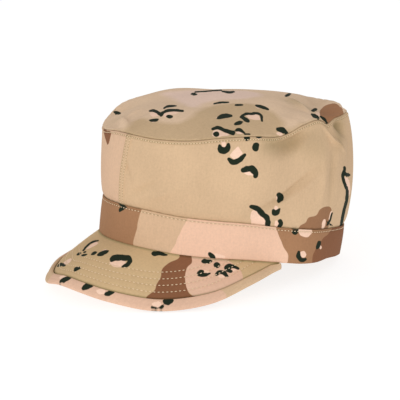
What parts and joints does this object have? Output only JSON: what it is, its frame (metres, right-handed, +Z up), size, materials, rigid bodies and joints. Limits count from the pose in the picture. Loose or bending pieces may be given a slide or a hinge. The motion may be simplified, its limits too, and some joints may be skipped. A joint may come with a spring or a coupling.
{
  "type": "patrol cap",
  "caption": "Soft cloth patrol cap with a domed crown, a band round its foot and a short stitched bill, in a desert camouflage print.",
  "frame": {"origin": "on the surface that the cap lies on, under the middle of its bounding box", "axes": "+Z up, the bill points to -Y, the wearer's left is +X"},
  "size_m": [0.187, 0.2656, 0.133],
  "materials": {
    "side_cloth": "matt twill, printed",
    "top_cloth": "matt twill, printed",
    "band_cloth": "matt twill, printed",
    "bill_cloth": "matt twill over a stiff board, printed",
    "lip_cloth": "matt twill, printed"
  },
  "bodies": {
    "root": {"crown_top": "top_cloth", "crown_side_left": "side_cloth", "crown_side_right": "side_cloth", "band": "band_cloth", "bill_top": "bill_cloth", "bill_under": "lip_cloth"}
  },
  "joints": []
}
